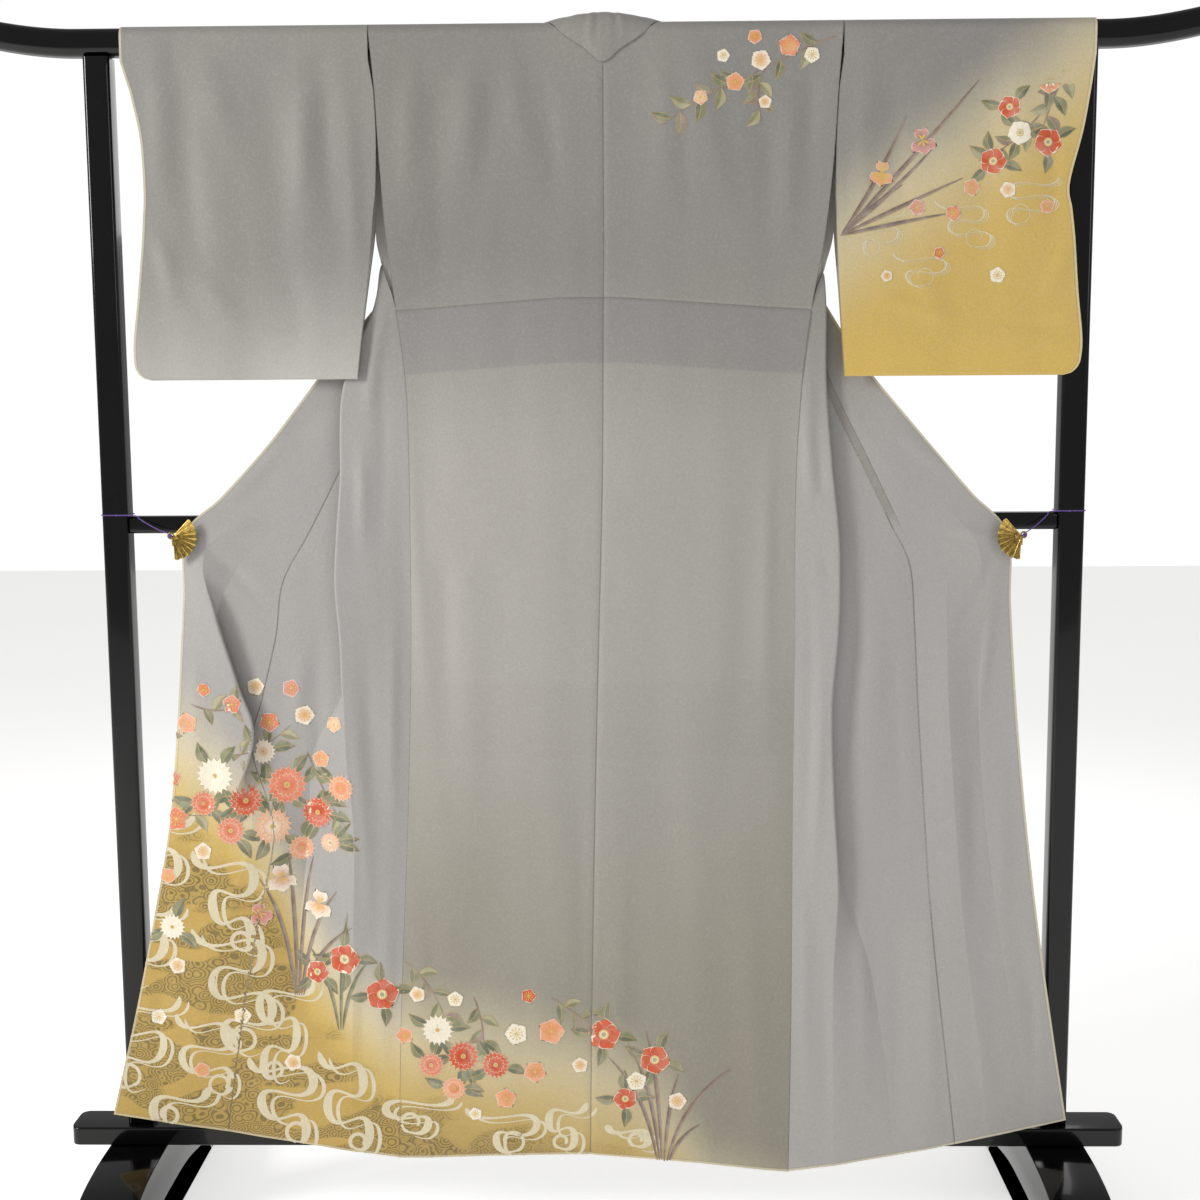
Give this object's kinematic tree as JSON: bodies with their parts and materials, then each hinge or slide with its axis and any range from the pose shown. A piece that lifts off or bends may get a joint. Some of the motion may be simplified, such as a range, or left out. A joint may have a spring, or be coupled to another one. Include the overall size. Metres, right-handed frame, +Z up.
{
  "type": "silk kimono on a lacquered display stand",
  "caption": "Silk visiting kimono hung by its sleeves over the bar of a black lacquered stand, fronts opened out and held by small fan clips tied to the uprights.",
  "frame": {"origin": "on the floor, midway between the two feet and under the middle of the bar", "axes": "+X along the bar to the right of a viewer who faces the garment's back, +Y from the garment's back to its front, +Z up"},
  "size_m": [1.7798, 0.486, 1.7188],
  "materials": {
    "silk": "satin crepe silk, printed",
    "brass": "polished, slightly aged",
    "string": "fine twisted silk string",
    "lacquer": "gloss black lacquer"
  },
  "bodies": {
    "root": {"body_left": "silk", "body_right": "silk", "overlap_left": "silk", "overlap_right": "silk", "collar": "silk", "sleeve_left": "silk", "sleeve_right": "silk", "fan_clip_left": "brass", "fan_clip_right": "brass", "clip_string_left": "string", "clip_string_right": "string", "stand_top_bar": "lacquer", "stand_upright_left": "lacquer", "stand_upright_right": "lacquer", "stand_crossbar": "lacquer", "stand_beam": "lacquer", "stand_foot_left": "lacquer", "stand_foot_right": "lacquer"}
  },
  "joints": []
}
